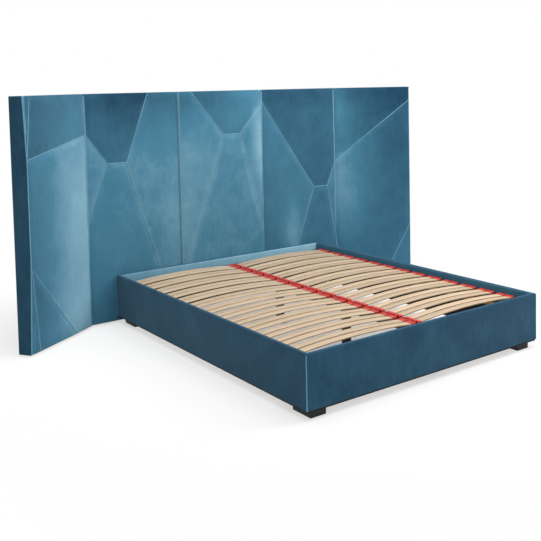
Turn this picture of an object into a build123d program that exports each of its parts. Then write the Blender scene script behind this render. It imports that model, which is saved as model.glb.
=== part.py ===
"""Wingback bed: a faceted upholstered headboard with two angled wings, an upholstered box and a slat base.

Millimetres. X points right seen from the foot, Y toward the headboard, Z up.
The origin is on the floor, at the centre of the whole bed's outline.
"""
import os
from math import cos, radians, sin, tan

from build123d import *

os.makedirs("parts", exist_ok=True)

# Mattress and the box around it
MATTRESS_WIDTH = 1600
MATTRESS_LENGTH = 2000
SIDE_PLAY = 4          # between the mattress and each side rail
END_PLAY = 14          # at the head and at the foot
RAIL_BOARD = 18
COVER = 3.7            # foam and velvet on a rail face
COVER_TOP = 4.7
FIT = 0.3              # free space round a soft piece
RAIL_WALL = RAIL_BOARD + 2 * (COVER + FIT)
BOX_WIDTH = MATTRESS_WIDTH + 2 * SIDE_PLAY + 2 * RAIL_WALL
BOX_LENGTH = MATTRESS_LENGTH + 2 * END_PLAY + 2 * RAIL_WALL
FOOT_HEIGHT = 42
RAIL_TOP = 320
BOARD_REVEAL = 9       # dark board edge left showing under the cover
OUTER_ROUND = 9
INNER_ROUND = 5

# Headboard
PANEL_WIDTH = 678
WING_WIDTH = 598
WING_ANGLE = 34.5
HEAD_BOTTOM = 12
HEAD_TOP = 1512
HEAD_GAP = 4           # box end to the headboard's seam plane
THICKNESS = 88         # from the seam plane to the back
CREST = 18             # how far the facets' high points stand in front of the seam plane
BACK_BOARD = 36
EDGE_WALL = 4          # cover wrapped round a panel's edge
EDGE_CUT = 8           # softened top and bottom edges
SIDE_CUT = 4
GLIDE_R = 14
GLIDE_PIN_R = 2
GLIDE_PIN = 20
GLIDE_INSET = 90

# Plates and screws behind the headboard
RECESS = 6
PLATE = 3
PLATE_HALF = 62
PLATE_HEIGHT = 64
PLATE_AT = (0.25, 0.78)       # heights, as shares of the headboard's top
SCREW_REACH = 42
SCREW_RISE = 18
SCREW_R = 2.2
SCREW_HEAD_R = 4.5
SCREW_HEAD = 2.4
SCREW_LENGTH = 20

# Box inside
BLOCK_WIDTH = 118
BLOCK_DEPTH = 150
LEDGER = 30
BAR = 40
BAR_BASE = 226
BAR_REST = 0.2         # free space between the loose base and its ledgers
BAR_PLAY = 2
BAR_END_PLAY = 4
BEAM_WIDTH = 70
FOOT_WIDTH = 92
FOOT_DEPTH = 140
FOOT_INSET = 40
FOOT_SETBACK = 28
FOOT_EDGE = 2
BOLT_AT = (-0.372, -0.110, 0.110, 0.372)       # shares of the box's width
BOLT_Z = 120
BOLT_R = 4
BOLT_HEAD_R = 9
BOLT_HEAD = 5
BOLT_BITE = 25
BOLT_CLEAR = 2

# Centre legs
LEG_R = 28
LEG_FLANGE_R = 33
LEG_FLANGE = 6
LEG_SOLE_R = 43
LEG_SOLE = 12
LEG_AT = (0.346, 0.673)       # shares of the box's length, from the foot

# Slats and their twin caps
ROW_SPACING = 145.5    # about this far between twins
FOOT_MARGIN = 161      # foot rail to the middle of the first twin
HEAD_MARGIN = 121
SLAT_WIDTH = 47
SLAT = 7
SLAT_BOW = 20
CAP_LENGTH = 114
CAP_DEPTH = 33
CAP_HEIGHT = 15
CAP_WALL = 2.5
CAP_FLOOR = 2.5
CAP_BACK = 3
CAP_PLAY = 0.3
CAP_GAP = 10           # open line between the two middle columns
RIDGE_WIDTH = 9
RIDGE = 2.5
KNOB_R = 4
KNOB = 2.5
KNOB_END = 10
EYE_R = 3
EYE_DEPTH = 4
PEG_R = 5
PEG = 14
CAP_ROUND = 2

# Derived
RAIL_BOTTOM = FOOT_HEIGHT
SEAM_Y = BOX_LENGTH + HEAD_GAP
DEPTH = SEAM_Y + THICKNESS
Y0 = -DEPTH / 2        # the foot rail's outer face
HALF_BACK = 1.5 * PANEL_WIDTH
MITRE = tan(radians(WING_ANGLE / 2))
BOARD_IN = COVER + FIT + RAIL_BOARD
LEDGER_BASE = BAR_BASE - LEDGER
ROW_RUN = BOX_LENGTH - 2 * RAIL_WALL - FOOT_MARGIN - HEAD_MARGIN
ROWS = 1 + round(ROW_RUN / ROW_SPACING)
ROW_PITCH = ROW_RUN / (ROWS - 1)
FIRST_ROW = RAIL_WALL + FOOT_MARGIN
BOLT_X = [share * BOX_WIDTH for share in BOLT_AT]
INNER_X = BOX_WIDTH / 2 - RAIL_WALL
BOARD_X = BOX_WIDTH / 2 - BOARD_IN
BAR_Z = BAR_BASE + BAR_REST
CAP_Z = BAR_Z + BAR
HUGE = 8000


def save(name, *solids):
    """Write one node: a single solid, or a group of separate ones."""
    shape = solids[0] if len(solids) == 1 else Compound(children=list(solids))
    export_step(shape, f"parts/{name}.step")


def block(x0, x1, y0, y1, z0, z1):
    """A box between two corners."""
    return Pos((x0 + x1) / 2, (y0 + y1) / 2, (z0 + z1) / 2) * Box(x1 - x0, y1 - y0, z1 - z0)


def upright(x, y, z0, z1, radius):
    """A vertical cylinder."""
    return Pos(x, y, (z0 + z1) / 2) * Cylinder(radius, z1 - z0)


def along_y(x, y0, y1, z, radius):
    """A cylinder lying along Y."""
    return Pos(x, (y0 + y1) / 2, z) * Rot(90, 0, 0) * Cylinder(radius, y1 - y0)


def beyond(point, normal):
    """Everything on the normal's side of a plane."""
    return Plane(origin=point, z_dir=normal).location * Box(
        HUGE, HUGE, HUGE, align=(Align.CENTER, Align.CENTER, Align.MIN))


def prism(points, z0, z1):
    """A plan outline raised between two heights."""
    return Pos(0, 0, z0) * extrude(make_face(Polyline(*points, close=True)), amount=z1 - z0)


# Headboard facets. A drop is (at, per x, per h): how far a facet lies behind the crest, in panel coordinates.
def plane_through(p, q, r):
    """The drop with the given values at three points, each point being (x, h, value)."""
    (x1, h1, v1), (x2, h2, v2), (x3, h3, v3) = p, q, r
    det = (x2 - x1) * (h3 - h1) - (x3 - x1) * (h2 - h1)
    per_x = ((v2 - v1) * (h3 - h1) - (v3 - v1) * (h2 - h1)) / det
    per_h = ((x2 - x1) * (v3 - v1) - (x3 - x1) * (v2 - v1)) / det
    return v1 - per_x * x1 - per_h * h1, per_x, per_h


def four_facets(a, b, up_a, up_b, down_a, down_b, rise, fall):
    """Two crease nodes joined by a short crease, with four facets round them."""
    level = (a[1] + b[1]) / 2
    top = (-rise * level, 0, rise)
    low = (fall * level, 0, -fall)

    def at(plane, p):
        return plane[0] + plane[1] * p[0] + plane[2] * p[1]

    side_a = plane_through((*a, 0), (*up_a, at(top, up_a)), (*down_a, at(low, down_a)))
    side_b = plane_through((*b, 0), (*up_b, at(top, up_b)), (*down_b, at(low, down_b)))
    return [top, low, side_a, side_b]


def folded(base, line, slope):
    """The base facet, folded back on the far side of a line from one point to another, to its right."""
    (x1, h1), (x2, h2) = line
    length = ((x2 - x1) ** 2 + (h2 - h1) ** 2) ** 0.5
    nx, nh = (h2 - h1) / length, -(x2 - x1) / length
    return base[0] - slope * (nx * x1 + nh * h1), base[1] + slope * nx, base[2] + slope * nh


W, F = PANEL_WIDTH, WING_WIDTH


def on_panel(across, up, width=W):
    """A point on a panel from its shares of the width and of the height."""
    return across * width, HEAD_BOTTOM + up * (HEAD_TOP - HEAD_BOTTOM)


# Where the creases meet, in order: the two nodes, then each node's crease ends above and below
LEFT_FACETS = four_facets(*[on_panel(*p) for p in (
    (0.211, 0.697), (0.409, 0.697), (0, 0.828), (0.659, 1), (0, 0.445), (0.878, 0))], 0.030, 0.0205)
MIDDLE_FACETS = four_facets(*[on_panel(*p) for p in (
    (0.507, 0.793), (0.711, 0.793), (0.136, 1), (1, 0.941), (0, 0.105), (1, 0.305))], 0.040, 0.0170)
RIGHT_FACETS = four_facets(*[on_panel(*p) for p in (
    (0.680, 0.496), (0.873, 0.496), (0, 0.942), (1, 0.617), (0.301, 0), (1, 0.212))], 0.018, 0.0345)
WING_FALL = 8          # how far a wing's main facet leans back toward the seam
LEFT_WING_BASE = (WING_FALL, WING_FALL / F, 0)
RIGHT_WING_BASE = (WING_FALL, -WING_FALL / F, 0)
LEFT_WING_FACETS = [LEFT_WING_BASE] + [
    folded(LEFT_WING_BASE, [on_panel(*p, F) for p in line], slope) for line, slope in (
        (((0, 0.827), (-0.987, 0.755)), 0.032), (((-0.970, 0.328), (-0.276, 0)), 0.040),
        (((-0.900, 1), (-0.993, 0.755)), 0.30), (((-0.983, 0.328), (-0.875, 0)), 0.30))]
RIGHT_WING_FACETS = [RIGHT_WING_BASE] + [
    folded(RIGHT_WING_BASE, [on_panel(*p, F) for p in line], slope) for line, slope in (
        (((1, 0.933), (0, 0.617)), 0.022), (((0.649, 0), (1, 0.285)), 0.045),
        (((0, 0.214), (0.167, 0)), 0.060))]
HEAD_Y = Y0 + SEAM_Y
PANELS = {
    # name: (node name, place, x from, x to, mitred left, mitred right, facets)
    "left": ("headboard_left", Pos(-HALF_BACK, HEAD_Y, 0), 0, W, True, False, LEFT_FACETS),
    "middle": ("headboard_middle", Pos(-W / 2, HEAD_Y, 0), 0, W, False, False, MIDDLE_FACETS),
    "right": ("headboard_right", Pos(W / 2, HEAD_Y, 0), 0, W, False, True, RIGHT_FACETS),
    "left_wing": ("left_wing", Pos(-HALF_BACK, HEAD_Y, 0) * Rot(0, 0, WING_ANGLE), -F, 0, False, True,
                  LEFT_WING_FACETS),
    "right_wing": ("right_wing", Pos(HALF_BACK, HEAD_Y, 0) * Rot(0, 0, -WING_ANGLE), 0, F, True, False,
                   RIGHT_WING_FACETS),
}


def plan(x0, x1, left_mitre, right_mitre, near, far, inset):
    """A panel's outline seen from above, between two depths, its mitred ends slanting outward to the back."""
    def left(y):
        return x0 + inset - (y * MITRE if left_mitre else 0)

    def right(y):
        return x1 - inset + (y * MITRE if right_mitre else 0)

    return [(left(near), near), (right(near), near), (right(far), far), (left(far), far)]


def pad(x0, x1, left_mitre, right_mitre, facets):
    """A faceted pad whose cover wraps round the edges of its board, with softened edges."""
    body = prism(plan(x0, x1, left_mitre, right_mitre, -CREST, THICKNESS, FIT / 2), HEAD_BOTTOM, HEAD_TOP)
    for at, per_x, per_h in facets:
        body -= beyond((0, at - CREST, 0), (per_x, -1, per_h))
    body -= beyond((0, 0, HEAD_TOP - EDGE_CUT), (0, -1, 1))
    body -= beyond((0, 0, HEAD_BOTTOM + EDGE_CUT), (0, -1, -1))
    body -= beyond((x0 + SIDE_CUT, 0, 0), (-1, -1, 0))
    body -= beyond((x1 - SIDE_CUT, 0, 0), (1, -1, 0))
    wall = EDGE_WALL - FIT
    pocket = plan(x0, x1, left_mitre, right_mitre, THICKNESS - BACK_BOARD - FIT, THICKNESS + 1, wall)
    return body - prism(pocket, HEAD_BOTTOM + wall, HEAD_TOP - wall)


def board(x0, x1, left_mitre, right_mitre):
    """The stiff board inside a pad."""
    return prism(plan(x0, x1, left_mitre, right_mitre, THICKNESS - BACK_BOARD, THICKNESS, EDGE_WALL),
                 HEAD_BOTTOM + EDGE_WALL, HEAD_TOP - EDGE_WALL)


pads, boards, glides = {}, {}, []
for key, (node, place, x0, x1, lm, rm, facets) in PANELS.items():
    soft, stiff = pad(x0, x1, lm, rm, facets), board(x0, x1, lm, rm)
    for gx in (x0 + GLIDE_INSET, x1 - GLIDE_INSET):
        gy = THICKNESS - BACK_BOARD / 2
        pin_top = HEAD_BOTTOM + EDGE_WALL + GLIDE_PIN
        glide = upright(gx, gy, 0, HEAD_BOTTOM, GLIDE_R) + upright(gx, gy, 0, pin_top, GLIDE_PIN_R)
        glides.append(place * glide)
        soft -= upright(gx, gy, 0, pin_top, GLIDE_PIN_R + FIT)
        stiff -= upright(gx, gy, 0, pin_top, GLIDE_PIN_R)
    pads[key], boards[key] = place * soft, place * stiff

# Plates across the four seams, let into the backs, with their screws
flat_plates, bent_plates, screws = [], [], []
plate_back, plate_front = THICKNESS - RECESS + PLATE, THICKNESS - RECESS


def screw(place, x, z):
    """A screw from behind, through a plate into a board."""
    return place * (along_y(x, plate_back, plate_back + SCREW_HEAD, z, SCREW_HEAD_R)
                    + along_y(x, plate_back - SCREW_LENGTH, plate_back, z, SCREW_R))


def half_plate(sign, mitred, z, near, far, reach):
    """The half of a plate on one side of a seam, between two depths."""
    k = MITRE if mitred else 0
    pts = [(-sign * near * k, near), (sign * reach, near), (sign * reach, far), (-sign * far * k, far)]
    return prism(pts, z - PLATE_HEIGHT / 2, z + PLATE_HEIGHT / 2)


straight = Rot(0, 0, 0)
SEAMS = [
    # left panel, right panel, place of the seam, turn of each side, mitred
    ("left", "middle", Pos(-W / 2, Y0 + SEAM_Y, 0), straight, straight, False),
    ("middle", "right", Pos(W / 2, Y0 + SEAM_Y, 0), straight, straight, False),
    ("left_wing", "left", Pos(-HALF_BACK, Y0 + SEAM_Y, 0), Rot(0, 0, WING_ANGLE), straight, True),
    ("right", "right_wing", Pos(HALF_BACK, Y0 + SEAM_Y, 0), straight, Rot(0, 0, -WING_ANGLE), True),
]
for a_key, b_key, seam, a_turn, b_turn, mitred in SEAMS:
    for z in [share * HEAD_TOP for share in PLATE_AT]:
        plate = None
        for key, turn, sign in ((a_key, a_turn, -1), (b_key, b_turn, 1)):
            here = seam * turn
            half = here * half_plate(sign, mitred, z, plate_front, plate_back, PLATE_HALF)
            plate = half if plate is None else plate + half
            cut = here * half_plate(sign, mitred, z, plate_front, THICKNESS + 1, PLATE_HALF + 1)
            boards[key] -= cut
            pads[key] -= cut
            for rise in (-SCREW_RISE, SCREW_RISE):
                screws.append(screw(here, sign * SCREW_REACH, z + rise))
                bore = here * along_y(sign * SCREW_REACH, plate_back - SCREW_LENGTH, plate_back, z + rise,
                                      SCREW_R)
                boards[key] -= bore
                plate -= bore
        (bent_plates if mitred else flat_plates).append(plate)

# Bolts that hold the box to the headboard
bolts = []
bolt_from, bolt_to = Y0 + BOX_LENGTH - BOARD_IN, Y0 + DEPTH - BACK_BOARD + BOLT_BITE
for x in BOLT_X:
    bolts.append(along_y(x, bolt_from - BOLT_HEAD, bolt_from, BOLT_Z, BOLT_HEAD_R)
                 + along_y(x, bolt_from, bolt_to, BOLT_Z, BOLT_R))
    key = "left" if x < -W / 2 else "right" if x > W / 2 else "middle"
    pads[key] -= along_y(x, bolt_from, bolt_to, BOLT_Z, BOLT_R + BOLT_CLEAR)
    boards[key] -= along_y(x, bolt_from, bolt_to, BOLT_Z, BOLT_R)

for key, row in PANELS.items():
    save(row[0] + "_pad", pads[key])
    save(row[0] + "_board", boards[key])
save("headboard_glides", *glides)
save("joining_plates", *flat_plates)
save("wing_plates", *bent_plates)
save("plate_screws", *screws)
save("headboard_bolts", *bolts)


# Box rails: a profile across the rail, t from the outer face inward, run along it and mitred at both ends
def run_of(face, length, slack):
    """Extrude a (t, z) profile along local X and mitre its ends; local Y points into the box."""
    body = Pos(-length / 2, 0, 0) * extrude(Plane.YZ * face, amount=length)
    body -= beyond((-length / 2 + slack, 0, 0), (-1, 1, 0))
    body -= beyond((length / 2 - slack, 0, 0), (1, 1, 0))
    return body


def rail_cover(length):
    """Cover over the outer face, the top and the upper part of the inner face."""
    flap = BAR_BASE + 1
    outer = make_face(Polyline((0, RAIL_BOTTOM + BOARD_REVEAL), (RAIL_WALL, RAIL_BOTTOM + BOARD_REVEAL),
                               (RAIL_WALL, RAIL_TOP), (0, RAIL_TOP), close=True))
    outer = fillet(outer.vertices().group_by(Axis.Y)[-1].sort_by(Axis.X)[0], OUTER_ROUND)
    outer = fillet(outer.vertices().group_by(Axis.Y)[-1].sort_by(Axis.X)[-1], INNER_ROUND)
    inner = RAIL_WALL - COVER
    lid = RAIL_TOP - COVER_TOP
    below = make_face(Polyline((COVER, 0), (RAIL_WALL + 1, 0), (RAIL_WALL + 1, flap),
                               (COVER, flap), close=True))
    inside = make_face(Polyline((COVER, 0), (inner, 0), (inner, lid), (COVER, lid), close=True))
    return run_of(outer - below - inside, length, FIT / 2)


def rail_board(length):
    """The stiff board inside a rail."""
    t0, t1 = COVER + FIT, COVER + FIT + RAIL_BOARD
    top = RAIL_TOP - COVER_TOP - FIT
    return run_of(make_face(Polyline((t0, RAIL_BOTTOM), (t1, RAIL_BOTTOM), (t1, top), (t0, top), close=True)),
                  length, 0)


MIDDLE_Y = Y0 + BOX_LENGTH / 2
RAILS = {
    "foot": (Pos(0, Y0, 0), BOX_WIDTH),
    "head": (Pos(0, Y0 + BOX_LENGTH, 0) * Rot(0, 0, 180), BOX_WIDTH),
    "left": (Pos(-BOX_WIDTH / 2, MIDDLE_Y, 0) * Rot(0, 0, -90), BOX_LENGTH),
    "right": (Pos(BOX_WIDTH / 2, MIDDLE_Y, 0) * Rot(0, 0, 90), BOX_LENGTH),
}
for side, (place, length) in RAILS.items():
    cover, core = place * rail_cover(length), place * rail_board(length)
    if side == "head":
        for x in BOLT_X:
            cover -= along_y(x, bolt_from, bolt_to, BOLT_Z, BOLT_R + BOLT_CLEAR)
            core -= along_y(x, bolt_from, bolt_to, BOLT_Z, BOLT_R)
    save(f"{side}_rail_cover", cover)
    save(f"{side}_rail_board", core)

# Corner blocks, feet and ledgers
BACK_Y = Y0 + BOX_LENGTH
for end, y_board, into in (("foot", Y0 + BOARD_IN, 1), ("head", BACK_Y - BOARD_IN, -1)):
    for side, sx in (("left", -1), ("right", 1)):
        xs = sorted((sx * BOARD_X, sx * (BOARD_X - BLOCK_WIDTH)))
        ys = sorted((y_board, y_board + into * BLOCK_DEPTH))
        save(f"{end}_{side}_corner_block", block(*xs, *ys, RAIL_BOTTOM, LEDGER_BASE))
        outer_x = BOX_WIDTH / 2 - FOOT_INSET
        outer_y = y_board + into * (FOOT_SETBACK - BOARD_IN)
        fxs = sorted((sx * outer_x, sx * (outer_x - FOOT_WIDTH)))
        fys = sorted((outer_y, outer_y + into * FOOT_DEPTH))
        foot = block(*fxs, *fys, 0, FOOT_HEIGHT)
        foot = chamfer(foot.edges().group_by(Axis.Z)[0], FOOT_EDGE)
        save(f"{end}_{side}_foot", foot)
for side, sx in (("left", -1), ("right", 1)):
    xs = sorted((sx * BOARD_X, sx * (BOARD_X - LEDGER)))
    save(f"{side}_ledger", block(*xs, Y0 + BOARD_IN, BACK_Y - BOARD_IN, LEDGER_BASE, BAR_BASE))
inner_ledger = BOARD_X - LEDGER
save("foot_ledger", block(-inner_ledger, inner_ledger, Y0 + BOARD_IN, Y0 + BOARD_IN + LEDGER,
                          LEDGER_BASE, BAR_BASE))
save("head_ledger", block(-inner_ledger, inner_ledger, BACK_Y - BOARD_IN - LEDGER, BACK_Y - BOARD_IN,
                          LEDGER_BASE, BAR_BASE))

# The loose slat base: frame, beam, legs, twin caps and bowed slats
bar_out = INNER_X - BAR_PLAY
bar_y0, bar_y1 = Y0 + RAIL_WALL + BAR_END_PLAY, BACK_Y - RAIL_WALL - BAR_END_PLAY
row_ys = [Y0 + FIRST_ROW + ROW_PITCH * i for i in range(ROWS)]
CAP_MID = CAP_DEPTH / 2
cap_places = {
    "left_side": [(-bar_out, y, 1) for y in row_ys],
    "left_beam": [(-0.5 * CAP_GAP, y, -1) for y in row_ys],
    "right_beam": [(0.5 * CAP_GAP, y, 1) for y in row_ys],
    "right_side": [(bar_out, y, -1) for y in row_ys],
}
side_bars = {"left": block(-bar_out, -bar_out + BAR, bar_y0, bar_y1, BAR_Z, CAP_Z),
             "right": block(bar_out - BAR, bar_out, bar_y0, bar_y1, BAR_Z, CAP_Z)}
beam = block(-BEAM_WIDTH / 2, BEAM_WIDTH / 2, bar_y0 + BAR, bar_y1 - BAR, BAR_Z, CAP_Z)
for name, places in cap_places.items():
    holes = [upright(x + d * CAP_MID, y, CAP_Z - PEG, CAP_Z, PEG_R) for x, y, d in places]
    if name.endswith("side"):
        side_bars[name.split("_")[0]] -= holes
    else:
        beam -= holes
save("left_side_bar", side_bars["left"])
save("right_side_bar", side_bars["right"])
save("centre_beam", beam)
bar_in = bar_out - BAR
save("foot_cross_bar", block(-bar_in, bar_in, bar_y0, bar_y0 + BAR, BAR_Z, CAP_Z))
save("head_cross_bar", block(-bar_in, bar_in, bar_y1 - BAR, bar_y1, BAR_Z, CAP_Z))
for name, y in zip(("foot_centre_leg", "head_centre_leg"), [share * BOX_LENGTH for share in LEG_AT]):
    leg = upright(0, Y0 + y, LEG_SOLE, BAR_Z - LEG_FLANGE, LEG_R)
    leg += upright(0, Y0 + y, BAR_Z - LEG_FLANGE, BAR_Z, LEG_FLANGE_R)
    leg += upright(0, Y0 + y, 0, LEG_SOLE, LEG_SOLE_R)
    save(name, leg)

slat_from = 0.5 * CAP_GAP + CAP_BACK
slat_to = bar_out - CAP_BACK
slat_mid = (slat_from + slat_to) / 2
slat_z = CAP_Z + CAP_FLOOR


def bowed(x0, x1, low, thick, width):
    """A strip bowed upward between two ends, centred on y = 0."""
    crown = low + SLAT_BOW
    under = ThreePointArc((x0, low), (slat_mid, crown), (x1, low))
    over = ThreePointArc((x1, low + thick), (slat_mid, crown + thick), (x0, low + thick))
    outline = make_face([under, Line((x1, low), (x1, low + thick)), over, Line((x0, low + thick), (x0, low))])
    return Pos(0, width / 2, 0) * extrude(Plane.XZ * outline, amount=width)


slat = bowed(slat_from, slat_to, slat_z, SLAT, SLAT_WIDTH)
socket = bowed(slat_from - CAP_PLAY, slat_to + CAP_PLAY, slat_z - CAP_PLAY, SLAT + 2 * CAP_PLAY,
               SLAT_WIDTH + 2 * CAP_PLAY)
twin = (CAP_LENGTH / 2 - CAP_WALL - CAP_PLAY) - SLAT_WIDTH / 2


def cap(back, direction):
    """A twin cap with its back at x = back, its mouths facing along the direction."""
    front = back + direction * CAP_DEPTH
    body = block(*sorted((back, front)), -CAP_LENGTH / 2, CAP_LENGTH / 2, CAP_Z, CAP_Z + CAP_HEIGHT)
    body = fillet(body.edges().filter_by(Axis.Z), CAP_ROUND)
    for y in (-twin, twin):
        body -= Pos(0, y, 0) * socket
    ridge = back + direction * RIDGE_WIDTH
    top = CAP_Z + CAP_HEIGHT + RIDGE
    bar = block(*sorted((back, ridge)), -CAP_LENGTH / 2, CAP_LENGTH / 2, CAP_Z + CAP_HEIGHT, top)
    body += fillet(bar.edges().filter_by(Axis.Z), CAP_ROUND)
    knob_x = back + direction * RIDGE_WIDTH / 2
    body += upright(knob_x, KNOB_END - CAP_LENGTH / 2, top, top + KNOB, KNOB_R)
    body -= upright(knob_x, CAP_LENGTH / 6, top - EYE_DEPTH, top, EYE_R)
    body += upright(back + direction * CAP_MID, 0, CAP_Z - PEG, CAP_Z, PEG_R)
    return body


right_side_cap, right_beam_cap = cap(bar_out, -1), cap(0.5 * CAP_GAP, 1)
turned = Rot(0, 0, 180)
save("right_side_caps", *[Pos(0, y, 0) * right_side_cap for y in row_ys])
save("right_beam_caps", *[Pos(0, y, 0) * right_beam_cap for y in row_ys])
left_side_cap, left_beam_cap = mirror(right_side_cap, Plane.YZ), mirror(right_beam_cap, Plane.YZ)
save("left_side_caps", *[Pos(0, y, 0) * left_side_cap for y in row_ys])
save("left_beam_caps", *[Pos(0, y, 0) * left_beam_cap for y in row_ys])
left_slat = mirror(slat, Plane.YZ)
for i, y in enumerate(row_ys):
    save(f"slat_row_{i + 1:02d}", *[Pos(0, y + dy, 0) * s for s in (left_slat, slat) for dy in (-twin, twin)])
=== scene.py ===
"""Looks of a wingback bed: velvet headboard and box, red-capped beech slats and the studio round them."""
import math

import bmesh
import bpy
from mathutils import Matrix, Vector


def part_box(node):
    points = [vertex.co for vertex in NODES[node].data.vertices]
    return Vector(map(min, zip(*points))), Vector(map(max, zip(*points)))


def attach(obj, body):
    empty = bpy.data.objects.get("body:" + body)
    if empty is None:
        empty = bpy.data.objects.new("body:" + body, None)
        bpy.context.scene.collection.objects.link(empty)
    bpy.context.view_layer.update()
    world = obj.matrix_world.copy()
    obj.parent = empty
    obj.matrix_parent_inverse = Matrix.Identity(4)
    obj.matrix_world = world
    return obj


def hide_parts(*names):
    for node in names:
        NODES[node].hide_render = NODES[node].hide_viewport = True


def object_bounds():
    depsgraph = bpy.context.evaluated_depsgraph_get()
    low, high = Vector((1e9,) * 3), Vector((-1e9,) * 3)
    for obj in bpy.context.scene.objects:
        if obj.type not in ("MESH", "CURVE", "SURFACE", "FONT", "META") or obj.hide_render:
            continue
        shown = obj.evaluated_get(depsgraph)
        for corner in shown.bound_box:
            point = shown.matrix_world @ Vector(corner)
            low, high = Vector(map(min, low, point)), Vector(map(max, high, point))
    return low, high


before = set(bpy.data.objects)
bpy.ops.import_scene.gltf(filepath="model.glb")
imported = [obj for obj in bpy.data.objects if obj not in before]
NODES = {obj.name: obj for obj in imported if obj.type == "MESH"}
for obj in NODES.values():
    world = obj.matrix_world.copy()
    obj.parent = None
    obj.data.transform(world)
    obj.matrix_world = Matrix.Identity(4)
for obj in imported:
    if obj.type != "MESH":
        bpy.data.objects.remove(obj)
CAD_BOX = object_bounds()

bl_info = {
    "name": "Faceted wingback bed",
    "version": (1, 0, 0),
    "blender": (4, 5, 0),
    "location": "3D View > Sidebar > Bed",
    "description": "Builds the upholstery, the slats and the studio round the packed bed frame",
    "category": "Object",
}


class BedSizes(bpy.types.PropertyGroup):
    """Sizes that shape the soft pieces, in metres."""
    panel_width: bpy.props.FloatProperty(
        name="Panel width", description="Width of one middle headboard panel", default=0.678, unit="LENGTH")
    wing_width: bpy.props.FloatProperty(
        name="Wing width", description="Width of one angled end panel", default=0.598, unit="LENGTH")
    wing_angle: bpy.props.FloatProperty(
        name="Wing angle", description="How far the end panels turn forward", default=math.radians(34.5),
        subtype="ANGLE")
    thickness: bpy.props.FloatProperty(
        name="Thickness", description="Headboard depth, seams to back", default=0.088, unit="LENGTH")
    crest: bpy.props.FloatProperty(
        name="Crest", description="How far facets rise in front of the seams", default=0.018, unit="LENGTH")
    board_depth: bpy.props.FloatProperty(
        name="Board", description="Depth of the board let into a panel's back", default=0.036, unit="LENGTH")
    edge_round: bpy.props.FloatProperty(
        name="Edge round", description="Radius of a panel's top edge", default=0.010, unit="LENGTH")
    seam_round: bpy.props.FloatProperty(
        name="Seam round", description="Radius where two panels meet", default=0.0035, unit="LENGTH")
    weave_step: bpy.props.FloatProperty(
        name="Pad mesh step", description="Mesh spacing of unfilled pads", default=0.014, unit="LENGTH")
    pad_crown: bpy.props.FloatProperty(
        name="Pad crown", description="Most that the filling may raise a facet", default=0.007, unit="LENGTH")
    welt: bpy.props.FloatProperty(
        name="Welt", description="Radius of the corded seam along a crease", default=0.0026, unit="LENGTH")
    slat_bow: bpy.props.FloatProperty(
        name="Slat bow", description="Rise of a slat at its middle", default=0.020, unit="LENGTH")
    slat_thick: bpy.props.FloatProperty(
        name="Slat thickness", description="Thickness of a slat", default=0.007, unit="LENGTH")
    slat_wide: bpy.props.FloatProperty(
        name="Slat width", description="Width of a slat, as in its solids", default=0.047, unit="LENGTH")


class BedColours(bpy.types.PropertyGroup):
    """Colours of the finishes, as sRGB hex values."""
    # the deep and the brushed velvet are a shaded and a lit copy of the one velvet, used for painted shade
    # and painted light
    velvet_shaded: bpy.props.StringProperty(
        name="Deep velvet", description="Velvet with the pile away from the eye", default="#103951")
    velvet: bpy.props.StringProperty(
        name="Velvet", description="Velvet with the pile at rest", default="#417790")
    velvet_lit: bpy.props.StringProperty(
        name="Brushed velvet", description="Velvet with the pile brushed up", default="#8DB7CA")
    velvet_sheen: bpy.props.StringProperty(
        name="Velvet sheen", description="Light caught on the pile's tips", default="#A9CEDD")
    beech: bpy.props.StringProperty(name="Beech", description="Face of a slat", default="#D1B89C")
    beech_dark: bpy.props.StringProperty(name="Beech grain", description="Grain lines", default="#B39A78")
    # both ply colours are darker than the wood's own: painted shade for the gaps between slats
    shaded_ply_light: bpy.props.StringProperty(
        name="Light plies", description="Light plies at a slat's sawn edge", default="#75583A")
    shaded_ply_dark: bpy.props.StringProperty(
        name="Dark plies", description="Dark plies and glue at a slat's sawn edge", default="#4A3622")
    red: bpy.props.StringProperty(name="Holder red", description="Moulded slat holders", default="#CC4238")
    black: bpy.props.StringProperty(name="Black", description="Feet, legs and steel bars", default="#15181D")
    floor: bpy.props.StringProperty(name="Floor", description="Studio floor", default="#F4F4F3")


# ---- small helpers for meshes
def only(obj):
    """Deselect everything, then select and activate one object."""
    bpy.ops.object.select_all(action="DESELECT")
    obj.select_set(True)
    bpy.context.view_layer.objects.active = obj


def settle(obj):
    """Move an object's place into its mesh."""
    only(obj)
    bpy.ops.object.transform_apply(location=True, rotation=True, scale=True)


def round_edges(obj, offset, segments=2, chosen=None):
    """Round an object's edges: all of them, or those whose two ends pass a test."""
    only(obj)
    bpy.ops.object.mode_set(mode="EDIT")
    bpy.ops.mesh.select_mode(type="EDGE")
    bpy.ops.mesh.select_all(action="DESELECT" if chosen else "SELECT")
    if chosen:
        bpy.ops.object.mode_set(mode="OBJECT")
        for edge in obj.data.edges:
            edge.select = chosen(*(obj.data.vertices[i].co for i in edge.vertices))
        bpy.ops.object.mode_set(mode="EDIT")
    bpy.ops.mesh.bevel(offset=offset, segments=segments, affect="EDGES")
    bpy.ops.object.mode_set(mode="OBJECT")


def slice_up(obj, planes, **settings):
    """Cut an object's faces along planes, each given as a point and a normal."""
    only(obj)
    bpy.ops.object.mode_set(mode="EDIT")
    for point, normal in planes:
        bpy.ops.mesh.select_all(action="SELECT")
        bpy.ops.mesh.bisect(plane_co=point, plane_no=normal, **settings)
    bpy.ops.object.mode_set(mode="OBJECT")


def bar(name, lo, hi, ease=0.0):
    """A closed block between two corners, its edges eased."""
    bpy.ops.object.select_all(action="DESELECT")
    bpy.ops.mesh.primitive_cube_add(size=1, location=(Vector(lo) + Vector(hi)) / 2)
    block = bpy.context.object
    block.name = block.data.name = name
    block.scale = Vector(hi) - Vector(lo)
    settle(block)
    if ease:
        round_edges(block, ease)
    return block


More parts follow.
